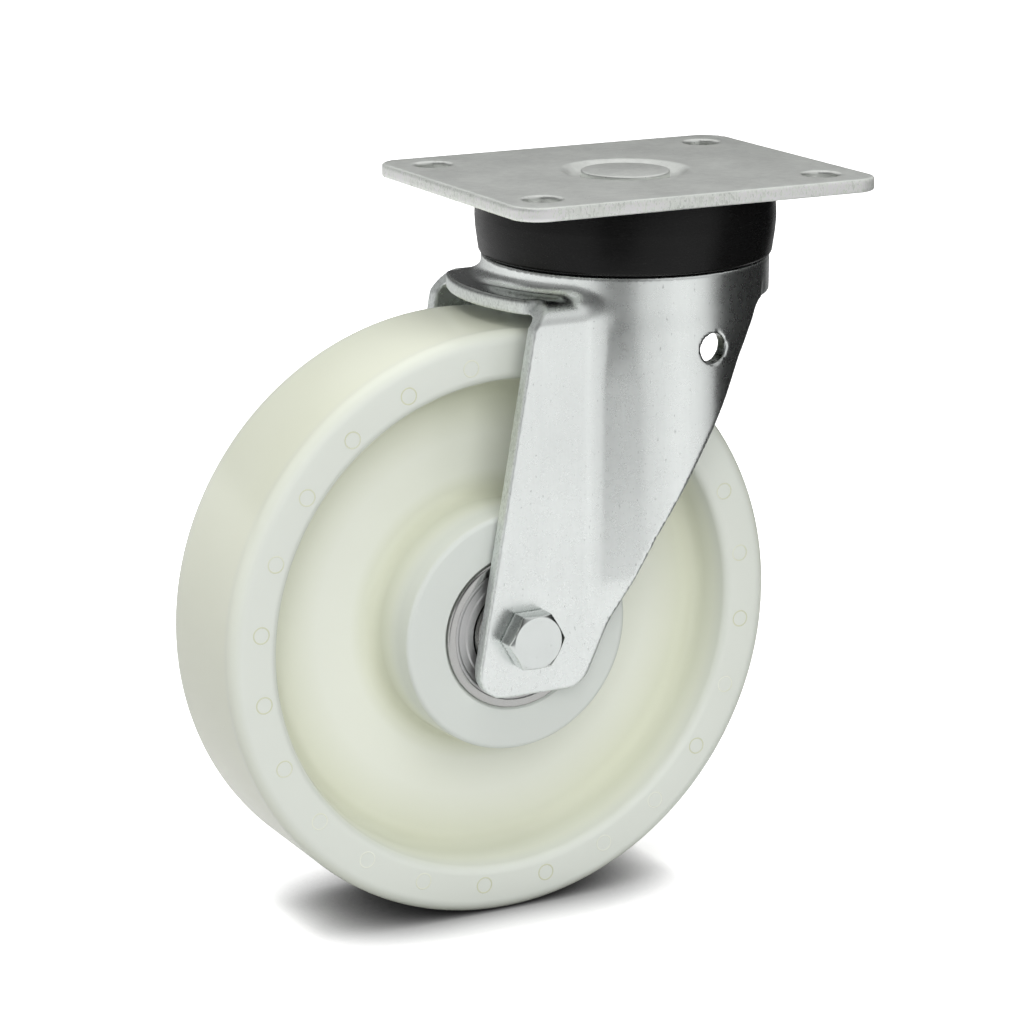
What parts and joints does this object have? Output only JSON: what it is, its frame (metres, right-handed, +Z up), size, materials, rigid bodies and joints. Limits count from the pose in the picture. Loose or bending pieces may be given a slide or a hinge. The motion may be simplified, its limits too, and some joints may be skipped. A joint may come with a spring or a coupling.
{
  "type": "heavy duty swivel castor",
  "caption": "Heavy duty swivel castor: solid nylon wheel on bearings in a pressed steel fork, ball-bearing swivel head under a bolt-on top plate.",
  "frame": {"origin": "centre of the bolt pattern in the plate's top face, on the swivel axis", "axes": "+Z up along the swivel axis, +X forward, so that the wheel trails towards -X at rest, +Y to the side of the axle's nut"},
  "size_m": [0.2245, 0.11, 0.245],
  "materials": {
    "plate_zinc": "zinc plated, dull, slightly rough",
    "fork_zinc": "zinc plated, satin, lightly scuffed",
    "fastener_zinc": "zinc plated, satin",
    "race_steel": "hardened steel, greased",
    "bearing_steel": "ground bearing steel",
    "shield_steel": "thin pressed steel",
    "ball_steel": "polished bearing balls",
    "tube_steel": "plain drawn tube",
    "seal_plastic": "black, glossy",
    "wheel_nylon": "natural nylon, glossy, slightly green white"
  },
  "bodies": {
    "head": {"top_plate": "plate_zinc", "king_pin": "plate_zinc", "upper_race": "race_steel", "seal_ring": "seal_plastic", "lower_race": "race_steel", "king_pin_washer": "fastener_zinc", "king_pin_nut": "fastener_zinc"},
    "upper_ball_set": {"upper_balls": "ball_steel"},
    "lower_ball_set": {"lower_balls": "ball_steel"},
    "swivel_fork": {"fork": "fork_zinc", "axle_bolt": "fastener_zinc", "axle_washer": "fastener_zinc", "axle_nut": "fastener_zinc", "axle_tube": "tube_steel", "near_spacer": "bearing_steel", "far_spacer": "bearing_steel", "near_inner_ring": "bearing_steel", "far_inner_ring": "bearing_steel"},
    "rolling_wheel": {"wheel": "wheel_nylon", "near_outer_ring": "bearing_steel", "far_outer_ring": "bearing_steel", "near_outside_shield": "shield_steel", "near_inside_shield": "shield_steel", "far_outside_shield": "shield_steel", "far_inside_shield": "shield_steel"},
    "near_ball_set": {"near_balls": "ball_steel", "near_cage": "shield_steel"},
    "far_ball_set": {"far_balls": "ball_steel", "far_cage": "shield_steel"}
  },
  "joints": [
    {"name": "swivel", "type": "hinge", "parent": "head", "child": "swivel_fork", "pos_m": [0, 0, -0.016], "axis": [0, 0, 1], "continuous": true},
    {"name": "wheel_spin", "type": "hinge", "parent": "swivel_fork", "child": "rolling_wheel", "pos_m": [-0.057, 0, -0.145], "axis": [0, 1, 0], "continuous": true},
    {"name": "upper_ball_orbit", "type": "hinge", "parent": "head", "child": "upper_ball_set", "pos_m": [0, 0, -0.0115], "axis": [0, 0, 1], "continuous": true},
    {"name": "lower_ball_orbit", "type": "hinge", "parent": "head", "child": "lower_ball_set", "pos_m": [0, 0, -0.0203], "axis": [0, 0, 1], "continuous": true},
    {"name": "near_ball_orbit", "type": "hinge", "parent": "swivel_fork", "child": "near_ball_set", "pos_m": [-0.057, 0, -0.145], "axis": [0, 1, 0], "continuous": true},
    {"name": "far_ball_orbit", "type": "hinge", "parent": "swivel_fork", "child": "far_ball_set", "pos_m": [-0.057, 0, -0.145], "axis": [0, 1, 0], "continuous": true}
  ],
  "couplings": [
    {"joint": "upper_ball_orbit", "follows": "swivel", "ratio": 0.5},
    {"joint": "lower_ball_orbit", "follows": "swivel", "ratio": 0.5},
    {"joint": "near_ball_orbit", "follows": "wheel_spin", "ratio": 0.6012},
    {"joint": "far_ball_orbit", "follows": "wheel_spin", "ratio": 0.6012}
  ]
}
